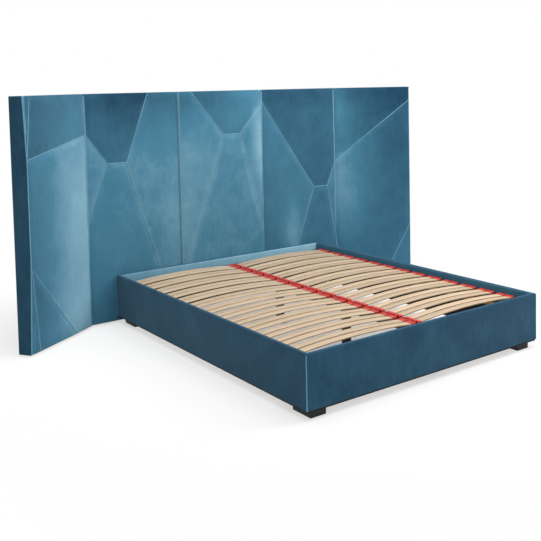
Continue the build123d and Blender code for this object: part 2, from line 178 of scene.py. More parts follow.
def stud(name, foot, radius, height, ease=0.0):
    """A closed upright cylinder standing on a point, its rims eased."""
    bpy.ops.object.select_all(action="DESELECT")
    bpy.ops.mesh.primitive_cylinder_add(vertices=20, radius=radius, depth=height,
                                        location=(foot[0], foot[1], foot[2] + height / 2))
    post = bpy.context.object
    post.name = post.data.name = name
    settle(post)
    if ease:
        round_edges(post, ease, chosen=lambda a, b: abs(a.z - b.z) < 1e-5)
    return post


def carve(body, tool, operation):
    """Join a tool to a body or cut it out, and remove the tool."""
    only(body)
    step = body.modifiers.new(operation.lower(), "BOOLEAN")
    step.operation, step.solver, step.object = operation, "EXACT", tool
    bpy.ops.object.modifier_apply(modifier=step.name)
    bpy.data.objects.remove(tool)


def copied(model, mirror, place):
    """A copy of a model with its own mesh, mirrored across x = 0 if mirror is -1, then moved."""
    copy = model.copy()
    copy.data = model.data.copy()
    bpy.context.scene.collection.objects.link(copy)
    copy.data.transform(Matrix.Translation(place) @ Matrix.Diagonal((mirror, 1, 1, 1)))
    if mirror < 0:
        copy.data.flip_normals()
    return copy


def joined(name, pieces):
    """One object made of several."""
    only(pieces[0])
    for piece in pieces:
        piece.select_set(True)
    bpy.ops.object.join()
    whole = bpy.context.object
    whole.name = whole.data.name = name
    return whole


def paint(obj, layer, values, domain="FACE"):
    """Give each face or point of an object a number that its material reads."""
    obj.data.attributes.new(layer, "FLOAT", domain).data.foreach_set("value", values)


# ---- materials
# the range that a noise really covers, and the settings of a mix that multiplies one colour by another
NOISE_RANGE = 0.3, 0.7
TINT = {"data_type": "RGBA", "blend_type": "MULTIPLY"}


def linear(code):
    """An sRGB hex value as linear RGBA."""
    parts = [int(code[i:i + 2], 16) / 255 for i in (1, 3, 5)]
    return (*[c / 12.92 if c <= 0.04045 else ((c + 0.055) / 1.055) ** 2.4 for c in parts], 1.0)


def add(tree, kind, wires=None, **settings):
    """Add a node with its settings, values and links; a node as a value means its first output in use."""
    node = tree.nodes.new(kind)
    for name, value in settings.items():
        setattr(node, name, value)
    for name, value in (wires or {}).items():
        if isinstance(value, bpy.types.Node):
            value = next(socket for socket in value.outputs if socket.enabled)
        if isinstance(value, bpy.types.NodeSocket):
            tree.links.new(value, node.inputs[name])
        else:
            node.inputs[name].default_value = value
    return node


def reckon(tree, operation, *values, **settings):
    """A math node on one or two values."""
    return add(tree, "ShaderNodeMath", dict(enumerate(values)), operation=operation, **settings)


def noise(tree, place, scale, detail, **more):
    """A noise texture read at a place."""
    return add(tree, "ShaderNodeTexNoise", {"Vector": place, "Scale": scale, "Detail": detail, **more})


def ranged(tree, value, source, target=(0.0, 1.0)):
    """A value that runs over one range, mapped to another."""
    keys = "From Min", "From Max", "To Min", "To Max"
    return add(tree, "ShaderNodeMapRange", {"Value": value, **dict(zip(keys, (*source, *target)))})


def begin(name):
    """A new material and its empty tree."""
    mat = bpy.data.materials.new(name)
    mat.use_nodes = True
    mat.node_tree.nodes.clear()
    return mat, mat.node_tree


def velvet():
    """Cotton velvet, cut pile about 2 mm, matt: deep or pale by the painted shade and painted light that each
    point and face carry, standing in for a pile that is deep face on and pale where it turns to the light.
    """
    hues = bpy.context.scene.bed_colours
    mat, tree = begin("cut_velvet")
    place = add(tree, "ShaderNodeTexCoord").outputs["Object"]
    # painted light and shade at each point and on each face, added together
    painted_light_shade = add(tree, "ShaderNodeAttribute", attribute_name="painted_light_shade").outputs["Fac"]
    facet_light_shade = add(tree, "ShaderNodeAttribute", attribute_name="facet_light_shade").outputs["Fac"]
    painted_shading = reckon(tree, "ADD", painted_light_shade, facet_light_shade)
    upright = add(tree, "ShaderNodeMapping", {"Vector": place, "Scale": (1, 1, 0.35)})
    # hand-brushed clouds about 160 mm across, and finer strokes about 25 mm
    clouds = noise(tree, place, 1 / 0.16, 4.0, Roughness=0.6)
    strokes = noise(tree, upright, 1 / 0.025, 3.0)
    # pile tufts are 0.5 mm and would not show: drawn as 3 mm flecks
    flecks = noise(tree, place, 1 / 0.003, 2.0)
    soft = ranged(tree, clouds, (0.32, 0.68), (-0.045, 0.045))
    fine = ranged(tree, strokes, NOISE_RANGE, (-0.02, 0.02))
    both = reckon(tree, "ADD", soft, fine)
    lift = reckon(tree, "ADD", both, painted_shading, use_clamp=True)
    # the colour runs from the shaded velvet through its own colour to the lit velvet: painted shade and
    # painted light
    tone = add(tree, "ShaderNodeValToRGB", {"Fac": lift})
    stops = tone.color_ramp.elements
    stops[0].color, stops[1].color = linear(hues.velvet_shaded), linear(hues.velvet_lit)
    stops.new(0.5).color = linear(hues.velvet)
    grain = ranged(tree, flecks, (0.25, 0.75), (0.90, 1.08))
    shade = add(tree, "ShaderNodeMix", {"Factor": 1.0, "A": tone, "B": grain}, **TINT)
    height = reckon(tree, "ADD", flecks, strokes)
    bump = add(tree, "ShaderNodeBump", {"Strength": 0.25, "Distance": 0.0015, "Height": height})
    skin = add(tree, "ShaderNodeBsdfPrincipled", {
        "Base Color": shade, "Roughness": 0.88, "Specular IOR Level": 0.18,
        "Sheen Weight": 0.55, "Sheen Roughness": 0.42, "Sheen Tint": linear(hues.velvet_sheen),
        "Normal": bump})
    add(tree, "ShaderNodeOutputMaterial", {"Surface": skin})
    return mat


def plain(name, colour, rough, fleck_mm=4.0, fleck=0.05, bump_mm=0.15, metallic=0.0, stretch=(1, 1, 1),
          vary=0.1, crevice_shade_mm=0.0):
    """A mottled finish with uneven gloss and a fine raised grain, with painted shade in crevices if a reach
    is given.
    """
    mat, tree = begin(name)
    place = add(tree, "ShaderNodeTexCoord").outputs["Object"]
    turned = add(tree, "ShaderNodeMapping", {"Vector": place, "Scale": stretch})
    grain = noise(tree, turned, 1000 / fleck_mm, 4.0)
    # wear and handling marks about 120 mm across
    broad = noise(tree, place, 1 / 0.12, 2.0)
    light = ranged(tree, grain, NOISE_RANGE, (1 - fleck, 1 + fleck))
    worn = ranged(tree, broad, NOISE_RANGE, (1 - vary, 1 + vary))
    much = reckon(tree, "MULTIPLY", light, worn)
    tone = add(tree, "ShaderNodeMix", {"Factor": 1.0, "A": linear(colour), "B": much}, **TINT)
    if crevice_shade_mm:
        # painted shade: darker where other surfaces lie close
        near = add(tree, "ShaderNodeAmbientOcclusion", {"Distance": crevice_shade_mm / 1000}, samples=8)
        depth = ranged(tree, near.outputs["AO"], (0.35, 0.85), (0.22, 1.0))
        tone = add(tree, "ShaderNodeMix", {"Factor": 1.0, "A": tone, "B": depth}, **TINT)
    gloss = ranged(tree, broad, NOISE_RANGE, (rough - 0.06, rough + 0.06))
    bump = add(tree, "ShaderNodeBump", {"Strength": 0.4, "Distance": bump_mm / 1000, "Height": grain})
    skin = add(tree, "ShaderNodeBsdfPrincipled",
               {"Base Color": tone, "Roughness": gloss, "Metallic": metallic, "Normal": bump})
    add(tree, "ShaderNodeOutputMaterial", {"Surface": skin})
    return mat


def beech_face():
    """Rotary-cut beech veneer under clear lacquer: pale, with short darker flecks along the slat."""
    hues = bpy.context.scene.bed_colours
    mat, tree = begin("beech_veneer")
    place = add(tree, "ShaderNodeTexCoord").outputs["Object"]
    # each slat is cut from another sheet, so each has its own tone
    tone = add(tree, "ShaderNodeAttribute", attribute_name="tone").outputs["Fac"]
    # grain lines 4 mm apart that run 250 mm along X; beech rays are short dashes 12 mm long
    along = add(tree, "ShaderNodeMapping", {"Vector": place, "Scale": (4, 250, 60)})
    lines = noise(tree, along, 1.0, 5.0, Distortion=0.6)
    dash = add(tree, "ShaderNodeMapping", {"Vector": place, "Scale": (80, 700, 300)})
    rays = noise(tree, dash, 1.0, 2.0)
    mixed = ranged(tree, lines, (0.42, 0.66))
    base = add(tree, "ShaderNodeMix", {"Factor": mixed, "A": linear(hues.beech),
                                       "B": linear(hues.beech_dark)}, data_type="RGBA")
    ray = ranged(tree, rays, (0.58, 0.70), (1.0, 0.86))
    much = reckon(tree, "MULTIPLY", ray, tone)
    shade = add(tree, "ShaderNodeMix", {"Factor": 1.0, "A": base, "B": much}, **TINT)
    bump = add(tree, "ShaderNodeBump", {"Strength": 0.2, "Distance": 0.0002, "Height": lines})
    skin = add(tree, "ShaderNodeBsdfPrincipled", {
        "Base Color": shade, "Roughness": 0.42, "Coat Weight": 0.15, "Coat Roughness": 0.3,
        "Normal": bump})
    add(tree, "ShaderNodeOutputMaterial", {"Surface": skin})
    return mat


def beech_edge():
    """The slat's sawn edge: thin plies, lighter and darker in turn, with dark glue lines, all painted darker
    to stand in for the shade in the gaps between slats.
    """
    hues = bpy.context.scene.bed_colours
    mat, tree = begin("beech_ply_edge_shaded")
    ply = add(tree, "ShaderNodeUVMap", uv_map="ply")
    across = add(tree, "ShaderNodeSeparateXYZ", {0: ply}).outputs["Y"]
    # plies are 1 mm; the render cannot hold them, so the pattern is three bands through the thickness
    wave = reckon(tree, "MULTIPLY", across, 3.0)
    saw = reckon(tree, "FRACT", wave)
    band = reckon(tree, "GREATER_THAN", saw, 0.45)
    place = add(tree, "ShaderNodeTexCoord").outputs["Object"]
    along = add(tree, "ShaderNodeMapping", {"Vector": place, "Scale": (12, 200, 900)})
    fibre = noise(tree, along, 1.0, 3.0)
    tone = add(tree, "ShaderNodeMix", {"Factor": band, "A": linear(hues.shaded_ply_light),
                                       "B": linear(hues.shaded_ply_dark)}, data_type="RGBA")
    much = ranged(tree, fibre, NOISE_RANGE, (0.8, 1.15))
    shade = add(tree, "ShaderNodeMix", {"Factor": 1.0, "A": tone, "B": much}, **TINT)
    bump = add(tree, "ShaderNodeBump", {"Strength": 0.4, "Distance": 0.0002, "Height": fibre})
    skin = add(tree, "ShaderNodeBsdfPrincipled",
               {"Base Color": shade, "Roughness": 0.6, "Normal": bump})
    add(tree, "ShaderNodeOutputMaterial", {"Surface": skin})
    return mat


def studio_floor(colour):
    """Matt pale floor that reads as white to the camera and keeps a soft shadow."""
    mat, tree = begin("studio_floor")
    path = add(tree, "ShaderNodeLightPath").outputs
    place = add(tree, "ShaderNodeTexCoord").outputs["Object"]
    dust = noise(tree, place, 1 / 0.4, 2.0)
    rough = ranged(tree, dust, (0.0, 1.0), (0.8, 1.0))
    matt = add(tree, "ShaderNodeBsdfDiffuse", {"Color": linear(colour), "Roughness": rough})
    glow = add(tree, "ShaderNodeEmission", {"Color": (1, 1, 1, 1), "Strength": 1.0})
    # the camera sees the lit floor mixed with a painted white glow whose share grows with distance from the
    # box, so the shadow is deepest inside the box, soft around it, and fades to plain white about 1.6 m away
    flat = add(tree, "ShaderNodeVectorMath", {0: place}, operation="ABSOLUTE")
    beyond = add(tree, "ShaderNodeVectorMath", {0: flat, 1: (0.60, 0.84, 0)}, operation="SUBTRACT")
    outside = add(tree, "ShaderNodeVectorMath", {0: beyond, 1: (0, 0, 0)}, operation="MAXIMUM")
    away = add(tree, "ShaderNodeVectorMath", {0: outside}, operation="LENGTH")
    reach = reckon(tree, "DIVIDE", away, 1.6, use_clamp=True)
    share = add(tree, "ShaderNodeValToRGB", {"Fac": reach})
    stops = share.color_ramp.elements
    stops[0].color, stops[1].color = (0.14, 0.14, 0.14, 1), (1, 1, 1, 1)
    stops.new(0.15).color = (0.60, 0.60, 0.60, 1)
    stops.new(0.55).color = (0.72, 0.72, 0.72, 1)
    seen = reckon(tree, "MAXIMUM", path["Is Camera Ray"], path["Is Glossy Ray"])
    through = reckon(tree, "MAXIMUM", seen, path["Is Transmission Ray"])
    part = reckon(tree, "MULTIPLY", through, share)
    both = add(tree, "ShaderNodeMixShader", {0: part, 1: matt, 2: glow})
    add(tree, "ShaderNodeOutputMaterial", {"Surface": both})
    return mat


def coat(obj, *mats):
    """Give an object these materials and no others."""
    obj.data.materials.clear()
    for mat in mats:
        obj.data.materials.append(mat)


MADE = {}


def shared(maker):
    """Make a material once and reuse it."""
    if maker not in MADE:
        MADE[maker] = maker()
    return MADE[maker]


# ---- headboard facets, in each panel's own plane: x across, h up, y forward is negative
def plane_through(p, q, r):
    """The drop with the given values at three points, each point being (x, h, value)."""
    (x1, h1, v1), (x2, h2, v2), (x3, h3, v3) = p, q, r
    det = (x2 - x1) * (h3 - h1) - (x3 - x1) * (h2 - h1)
    per_x = ((v2 - v1) * (h3 - h1) - (v3 - v1) * (h2 - h1)) / det
    per_h = ((x2 - x1) * (v3 - v1) - (x3 - x1) * (v2 - v1)) / det
    return v1 - per_x * x1 - per_h * h1, per_x, per_h


def drop_at(plane, x, h):
    """How far a facet lies behind the crest at a point."""
    return plane[0] + plane[1] * x + plane[2] * h


def folded(base, line, slope):
    """The base facet, folded back on the right-hand side of a line."""
    (x1, h1), (x2, h2) = line
    length = math.hypot(x2 - x1, h2 - h1)
    nx, nh = (h2 - h1) / length, -(x2 - x1) / length
    return base[0] - slope * (nx * x1 + nh * h1), base[1] + slope * nx, base[2] + slope * nh


# the panels' lower and upper edge above the floor
BOTTOM, TOP = 0.012, 1.512
# a panel's start in panel widths, then its two crease nodes, where their lines end above and below (all as
# shares of the panel), the upper facet's rise, the lower one's fall, and the painted light or shade of each
# facet:
# upper, lower, left, right
MIDDLE_PANELS = {
    "headboard_left": (
        -1.5, ((0.211, 0.697), (0.409, 0.697), (0, 0.828), (0.659, 1), (0, 0.445), (0.878, 0)),
        0.030, 0.0205, (0.31, 0.50, 0.56, 0.55)),
    "headboard_middle": (
        -0.5, ((0.507, 0.793), (0.711, 0.793), (0.136, 1), (1, 0.941), (0, 0.105), (1, 0.305)),
        0.040, 0.0170, (0.42, 0.52, 0.56, 0.50)),
    "headboard_right": (
        0.5, ((0.680, 0.496), (0.873, 0.496), (0, 0.942), (1, 0.617), (0.301, 0), (1, 0.212)),
        0.018, 0.0345, (0.20, 0.28, 0.36, 0.40)),
}
# a wing's turn, its folds as a line and a slope, and the painted light or shade of its main facet and of each
# fold
WING_PANELS = {
    "left_wing": (
        1, ((((0, 0.827), (-0.987, 0.755)), 0.032), (((-0.970, 0.328), (-0.276, 0)), 0.040),
            (((-0.900, 1), (-0.993, 0.755)), 0.30), (((-0.983, 0.328), (-0.875, 0)), 0.30)),
        (0.46, 0.26, 0.34, 0.56, 0.46)),
    "right_wing": (
        -1, ((((1, 0.933), (0, 0.617)), 0.022), (((0.649, 0), (1, 0.285)), 0.045),
             (((0, 0.214), (0.167, 0)), 0.060)),
        (0.30, 0.20, 0.36, 0.32)),
}
# patches of painted light, and of painted shade where the gain is below zero: centre across and up as shares,
# reach across and up in metres, and how much lighter
LIGHT_SHADE_PATCHES = {
    "left_wing": (
        (-0.06, 0.48, 0.32, 0.62, 0.36), (-0.20, 0.06, 0.26, 0.26, 0.30), (-0.97, 0.50, 0.20, 0.70, -0.14),
        (-0.5, 1.03, 0.5, 0.12, -0.08)),
    "headboard_left": (
        (0.75, 1.04, 0.60, 0.30, -0.38), (0.97, 0.45, 0.14, 0.35, 0.04), (0.1, 0.0, 0.5, 0.4, -0.08)),
    "headboard_middle": (
        (0.03, 0.50, 0.12, 0.50, 0.08), (0.99, 0.74, 0.08, 0.32, 0.32), (0.05, 1.04, 0.34, 0.24, -0.34)),
    "headboard_right": (
        (0.50, 1.02, 0.60, 0.16, -0.14), (0.40, 0.24, 0.09, 0.28, 0.26)),
    "right_wing": (
        (0.07, 0.50, 0.21, 0.46, 0.34), (0.03, 0.90, 0.09, 0.20, 0.24), (1.0, 0.80, 0.30, 0.60, -0.18),
        (0.60, 1.03, 0.50, 0.13, -0.14)),
}
# a face or point with its normal's y above this belongs to a pad's sides or back, not to its front
FRONT = -0.35
# painted tone of the walls of the seam between two panels (painted light against the seam's shade), of a
# pad's other sides (painted shade), and of the welts on pads and box (painted highlights)
SEAM_HIGHLIGHT, SIDE_SHADE, PAD_WELT_HIGHLIGHT, BOX_WELT_HIGHLIGHT = 1.0, 0.08, 0.72, 0.62
# how much painted highlight lies along a crease and at a turned side edge, and how far from it
CREASE_HIGHLIGHT, CREASE_REACH, EDGE_HIGHLIGHT, EDGE_REACH = 0.07, 0.022, 0.18, 0.02


def painted_shading(name, facets, painted_light_shade, face):
    """Painted light and shade on a whole face: each facet in front its own painted tone, painted light on a
    seam's walls, painted shade on the outer sides.
    """
    c = face.center
    # a seam's walls get painted light and a pad's other sides painted shade; in front, each facet gets its
    # own painted tone
    if face.normal.y > FRONT:
        near_joint, seam_depth = 0.1, 0.05
        seam = name in MIDDLE_PANELS or abs(c.x) < near_joint
        return SEAM_HIGHLIGHT if seam and abs(face.normal.x) > 0.5 and c.y < seam_depth else SIDE_SHADE
    return painted_light_shade[max(range(len(facets)), key=lambda j: drop_at(facets[j], c.x, c.z))]


def painted_light_at(name, lines, x0, x1, v):
    """How much painted light lies at a vertex: in patches of painted light and shade, and as painted
    highlights along creases and at turned edges.
    """
    x, _, h = v.co
    if v.normal.y > FRONT:
        return 0.0
    value = 0.0
    # patches of painted light, or of painted shade where the gain is below zero
    for across, up, reach_x, reach_h, gain in LIGHT_SHADE_PATCHES[name]:
        u = (x - across * (x1 - x0)) / reach_x
        w = (h - BOTTOM - up * (TOP - BOTTOM)) / reach_h
        value += gain * math.exp(-u * u - w * w)
    # painted highlight along the creases
    value += CREASE_HIGHLIGHT * math.exp(-(min(off_line((x, h), line) for line in lines) / CREASE_REACH) ** 2)
    # painted highlight where the front turns into a side edge
    if v.normal.y > -0.93 and min(x - x0, x1 - x) < EDGE_REACH:
        value += EDGE_HIGHLIGHT
    return value


def panel_layout(name):
    """A panel's place, span, mitres, facets, crease lines and nap."""
    s = bpy.context.scene.bed_sizes
    seam_y = CAD_BOX[1].y - s.thickness
    half = 1.5 * s.panel_width

    def on(p, width):
        return p[0] * width, BOTTOM + p[1] * (TOP - BOTTOM)

    if name in MIDDLE_PANELS:
        start, points, rise, fall, painted_light_shade = MIDDLE_PANELS[name]
        a, b, up_a, up_b, down_a, down_b = [on(p, s.panel_width) for p in points]
        level = a[1]
        high, low = (-rise * level, 0, rise), (fall * level, 0, -fall)
        side_a = plane_through((*a, 0), (*up_a, drop_at(high, *up_a)), (*down_a, drop_at(low, *down_a)))
        side_b = plane_through((*b, 0), (*up_b, drop_at(high, *up_b)), (*down_b, drop_at(low, *down_b)))
        place = Matrix.Translation((start * s.panel_width, seam_y, 0))
        mitres = (start < -1, start > 0)
        lines = [(a, b), (a, up_a), (b, up_b), (a, down_a), (b, down_b)]
        return place, (0, s.panel_width), mitres, [high, low, side_a, side_b], lines, painted_light_shade
    turn, folds, painted_light_shade = WING_PANELS[name]
    base = (0.008, turn * 0.008 / s.wing_width, 0)
    lines = [tuple(on(p, s.wing_width) for p in line) for line, _ in folds]
    facets = [base] + [folded(base, line, slope) for line, (_, slope) in zip(lines, folds)]
    place = Matrix.Translation((-turn * half, seam_y, 0)) @ Matrix.Rotation(turn * s.wing_angle, 4, "Z")
    span = (-s.wing_width, 0) if turn > 0 else (0, s.wing_width)
    return place, span, (turn < 0, turn > 0), facets, lines, painted_light_shade


def off_line(p, line):
    """Distance from a point to a line segment in the panel's plane."""
    a, b = Vector(line[0]), Vector(line[1])
    along = b - a
    t = max(0.0, min(1.0, (Vector(p) - a).dot(along) / along.length_squared))
    return (a + along * t - Vector(p)).length


def fill_pad(pad, soft):
    """Let a light inflation stretch the cloth between its stitched lines, and apply the result."""
    group = pad.vertex_groups.new(name="stitched")
    group.add([v.index for v in pad.data.vertices if v.index not in soft], 1.0, "REPLACE")
    before = [v.co.copy() for v in pad.data.vertices]
    cloth = pad.modifiers.new("filling", "CLOTH")
    cloth.settings.quality = 4
    cloth.settings.mass = 0.25
    cloth.settings.tension_stiffness = cloth.settings.compression_stiffness = 12
    cloth.settings.shear_stiffness = 4
    cloth.settings.bending_stiffness = 0.8
    cloth.settings.use_pressure = True
    cloth.settings.uniform_pressure_force = 5.0
    cloth.settings.shrink_min = -0.006
    cloth.settings.vertex_group_mass = "stitched"
    cloth.settings.effector_weights.gravity = 0
    cloth.collision_settings.use_collision = False
    last = 9
    cloth.point_cache.frame_start, cloth.point_cache.frame_end = 1, last
    for i in range(1, last + 1):
        bpy.context.scene.frame_set(i)
    only(pad)
    bpy.ops.object.modifier_apply(modifier="filling")
    bpy.context.scene.frame_set(1)
    limit = bpy.context.scene.bed_sizes.pad_crown
    for v, was in zip(pad.data.vertices, before):
        move = v.co - was
        if move.length > limit:
            v.co = was + move * (limit / move.length)
    pad.vertex_groups.clear()


def make_pad(name):
    """One faceted headboard pad: a stitched front sheet, rounded edges, sides and a pocket for its board."""
    s = bpy.context.scene.bed_sizes
    place, (x0, x1), (mitre_left, mitre_right), facets, lines, painted_light_shade = panel_layout(name)
    slack, slant = 0.0002, math.tan(s.wing_angle / 2)
    rs, rt = s.seam_round, s.edge_round
    left, right, low, high = x0 + slack + rs, x1 - slack - rs, BOTTOM + rt, TOP - rt
    nx, nz = round((right - left) / s.weave_step), round((high - low) / s.weave_step)
    bpy.ops.object.select_all(action="DESELECT")
    bpy.ops.mesh.primitive_grid_add(x_subdivisions=nx, y_subdivisions=nz, size=1,
                                    location=((left + right) / 2, 0, (low + high) / 2),
                                    rotation=(math.radians(90), 0, 0), scale=(right - left, high - low, 1))
    pad = bpy.context.object
    pad.name = pad.data.name = name + "_upholstery"
    pad.scale = (right - left, high - low, 1)
    settle(pad)
    slice_up(pad, [((a[0], 0, a[1]), (b[1] - a[1], 0, a[0] - b[0])) for a, b in lines])
    bpy.ops.object.mode_set(mode="EDIT")
    bpy.ops.mesh.select_all(action="SELECT")
    bpy.ops.mesh.remove_doubles(threshold=0.0012)
    bpy.ops.object.mode_set(mode="OBJECT")

    def front(x, h):
        return max(drop_at(f, x, h) for f in facets) - s.crest

    def edge_x(x, y):
        """Where a side edge lies at a depth, on its mitre if it has one."""
        if x < (x0 + x1) / 2:
            return x - (y * slant if mitre_left else 0)
        return x + (y * slant if mitre_right else 0)

    bm = bmesh.new()
    bm.from_mesh(pad.data)
    # the rim lies on the mitres, and the sheet beside it follows less and less over 100 mm
    tol, fade = 0.0015, 0.1
    rim = {}
    for v in bm.verts:
        x, h = v.co.x, v.co.z
        side = (-1 if x < left + tol else 1 if x > right - tol else 0,
                -1 if h < low + tol else 1 if h > high - tol else 0)
        y = front(x, h)
        v.co.y = y
        if side != (0, 0):
            rim[v] = side
        v.co.x = edge_x(x, y) if side[0] else x + (edge_x(left, y) - left) * max(0, 1 - (x - left) / fade) \
            + (edge_x(right, y) - right) * max(0, 1 - (right - x) / fade)

    def drawn_out(track):
        """The open rim extruded once: each new vertex with the front vertex that it comes from."""
        made = bmesh.ops.extrude_edge_only(bm, edges=[e for e in bm.edges if e.is_boundary])["geom"]
        return {v: track[next(e.other_vert(v) for e in v.link_edges if e.other_vert(v) in track)]
                for v in made if isinstance(v, bmesh.types.BMVert)}

    # the edge turns back in a quarter round, and the sides run to the back in three steps
    base = {v: (v.co.copy(), rim[v]) for v in rim}
    track = {v: v for v in rim}
    turns = 3
    depths = [("round", i / turns * math.pi / 2) for i in range(1, turns + 1)]
    depths += [("back", 0.35), ("back", 0.7), ("back", 1.0)]
    for kind, amount in depths:
        track = drawn_out(track)
        for v, origin in track.items():
            co, (sx, sh) = base[origin]
            if kind == "round":
                out_s, out_t = rs * math.sin(amount), rt * math.sin(amount)
                back = (rs if sx else rt) * (1 - math.cos(amount))
            else:
                out_s, out_t = rs, rt
                start = co.y + (rs if sx else rt)
                back = (rs if sx else rt) + (s.thickness - start) * amount
            y = co.y + back
            shift = (edge_x(x0 if sx < 0 else x1, y) - edge_x(x0 if sx < 0 else x1, co.y)) if sx else 0
            v.co = Vector((co.x + sx * out_s + shift, y, co.z + sh * out_t))
    # rim at the back, then the walls and the floor of the pocket that holds the board
    wall, play = 0.0036, 0.0003
    for depth in (s.thickness, s.thickness - s.board_depth - play):
        track = drawn_out(track)
        for v, origin in track.items():
            co, (sx, sh) = base[origin]
            side_x = x0 + slack if sx < 0 else x1 - slack
            x = edge_x(side_x, depth) - sx * wall if sx else co.x
            z = (TOP if sh > 0 else BOTTOM) - sh * wall if sh else co.z
            v.co = Vector((x, depth, z))
    bmesh.ops.contextual_create(bm, geom=[e for e in bm.edges if e.is_boundary])
    bmesh.ops.recalc_face_normals(bm, faces=bm.faces)
    bm.to_mesh(pad.data)
    bm.free()
    # only the front sheet fills out, and it is held at its hem and beside the creases
    sheet_back, hem, stitched = 0.02, 0.004, 0.45 * s.weave_step
    soft = {v.index for v in pad.data.vertices
            if v.co.y < sheet_back and left + hem < v.co.x < right - hem and low + hem < v.co.z < high - hem
            and min(off_line((v.co.x, v.co.z), line) for line in lines) > stitched}
    fill_pad(pad, soft)
    only(pad)
    bpy.ops.object.shade_smooth_by_angle(angle=math.radians(50))
    # painted light and shade: highlights and patches at each point, and a painted tone for each facet
    paint(pad, "painted_light_shade", [painted_light_at(name, lines, x0, x1, v) for v in pad.data.vertices], "POINT")
    paint(pad, "facet_light_shade", [painted_shading(name, facets, painted_light_shade, face) for face in pad.data.polygons])
    # a welt up each side edge keeps just short of the next panel's and lies half sunk in the round
    count = 40
    rows = [low + (high - low) * i / count for i in range(count + 1)]
    over = rs - 1.05 * s.welt
    sunk = rs - math.sqrt(rs * rs - over * over) - 0.5 * s.welt
    borders = [[Vector((edge_x(x, front(x, h)) + sign * over, front(x, h) + sunk, h)) for h in rows]
               for x, sign in ((left, -1), (right, 1))]
    welt = crease_welts(name, pad, lines, borders, (left, right, low, high), rs)
    for piece in (pad, welt):
        piece.data.transform(place)
        coat(piece, shared(velvet))
    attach(pad, "bed")
    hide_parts(name + "_pad")
    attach(welt, "bed")


def crease_welts(name, pad, lines, borders, frame_box, reach):
    """Thin corded seams that follow the stitched creases and the pad's two upright edges."""
    s = bpy.context.scene.bed_sizes
    left, right, low, high = frame_box
    curve = bpy.data.curves.new(name + "_seams", "CURVE")
    curve.dimensions = "3D"
    curve.bevel_depth = s.welt
    curve.bevel_resolution = 2
    curve.use_fill_caps = True
    spacing, past, proud = 0.02, reach * 0.3, s.welt * 0.35
    runs = list(borders)
    for a, b in lines:
        a, b = Vector(a), Vector(b)
        count = max(3, round((b - a).length / spacing))
        points = []
        for i in range(count + 1):
            p = a.lerp(b, i / count)
            x, z = min(max(p.x, left - past), right + past), min(max(p.y, low), high)
            hit, co, normal, _ = pad.ray_cast(Vector((x, -0.2, z)), Vector((0, 1, 0)))
            if hit:
                points.append(co + normal * proud)
        runs.append(points)
    for points in runs:
        if len(points) < 3:
            continue
        spline = curve.splines.new("NURBS")
        spline.points.add(len(points) - 1)
        for point, co in zip(spline.points, points):
            point.co = (*co, 1)
        spline.order_u = 3
        spline.use_endpoint_u = True
    welt = bpy.data.objects.new(name + "_seams", curve)
    bpy.context.scene.collection.objects.link(welt)
    only(welt)
    bpy.ops.object.convert(target="MESH")
    welt = bpy.context.object
    bpy.ops.object.shade_smooth()
    # the welts are painted lighter: a painted highlight
    paint(welt, "painted_light_shade", [PAD_WELT_HIGHLIGHT] * len(welt.data.polygons))
    return welt


class BED_OT_headboard(bpy.types.Operator):
    """Make the five faceted headboard pads and their seams"""
    bl_idname = "bed.headboard"
    bl_label = "Headboard pads"

    def execute(self, context):
        for name in (*MIDDLE_PANELS, *WING_PANELS):
            make_pad(name)
        return {"FINISHED"}


